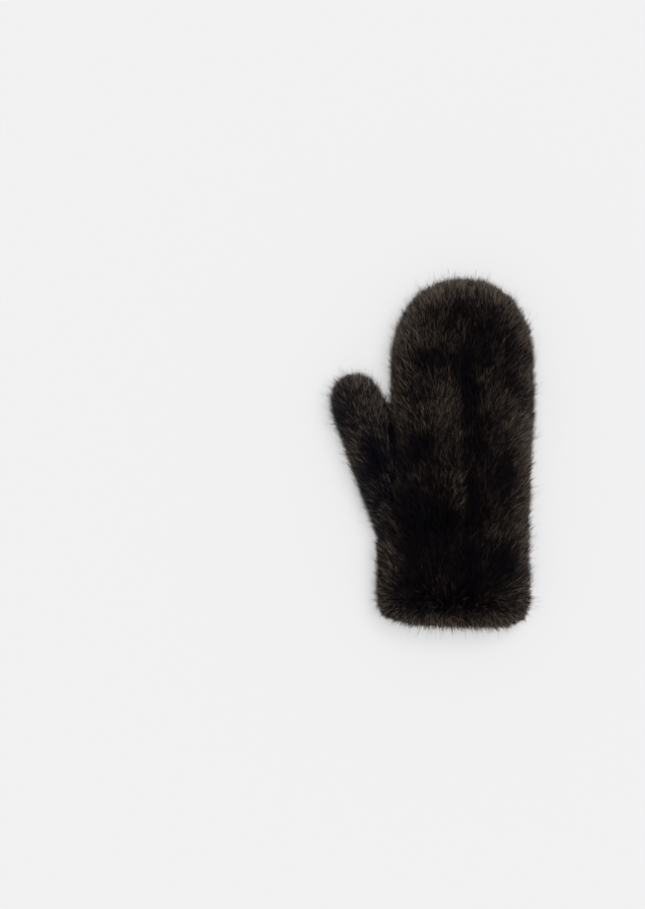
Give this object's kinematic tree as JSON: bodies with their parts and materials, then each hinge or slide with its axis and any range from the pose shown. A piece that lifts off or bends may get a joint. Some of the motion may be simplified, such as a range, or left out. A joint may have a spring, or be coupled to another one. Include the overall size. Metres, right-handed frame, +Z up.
{
  "type": "fur mitten",
  "caption": "Right-hand mitten of deep dark fur lying palm down, hollow and open at the hem, with a leaning thumb, a seamed back, a palm and a cuff band.",
  "frame": {"origin": "bottom centre of the mitten's box, on the surface that it lies on", "axes": "+Z up from the palm to the back of the hand, +Y from the hem to the fingertips, +X towards the outer (little finger) side, the thumb on the -X side"},
  "size_m": [0.1624, 0.2774, 0.0442],
  "materials": {
    "fur_back": "dense mink fur, near-black brown with glossy guard hairs and lighter rims",
    "fur_palm": "dense mink fur, near-black brown, pressed flat where it rests",
    "fur_thumb": "dense mink fur, near-black with a cool grey sheen",
    "fur_cuff": "dense mink fur, near-black brown, combed towards the hem",
    "suede_inside": "brushed brown suede, the flesh side of the pelt"
  },
  "bodies": {
    "root": {"back_thumb_side": "fur_back", "back_outer_side": "fur_back", "palm": "fur_palm", "thumb": "fur_thumb", "cuff": "fur_cuff"}
  },
  "joints": []
}
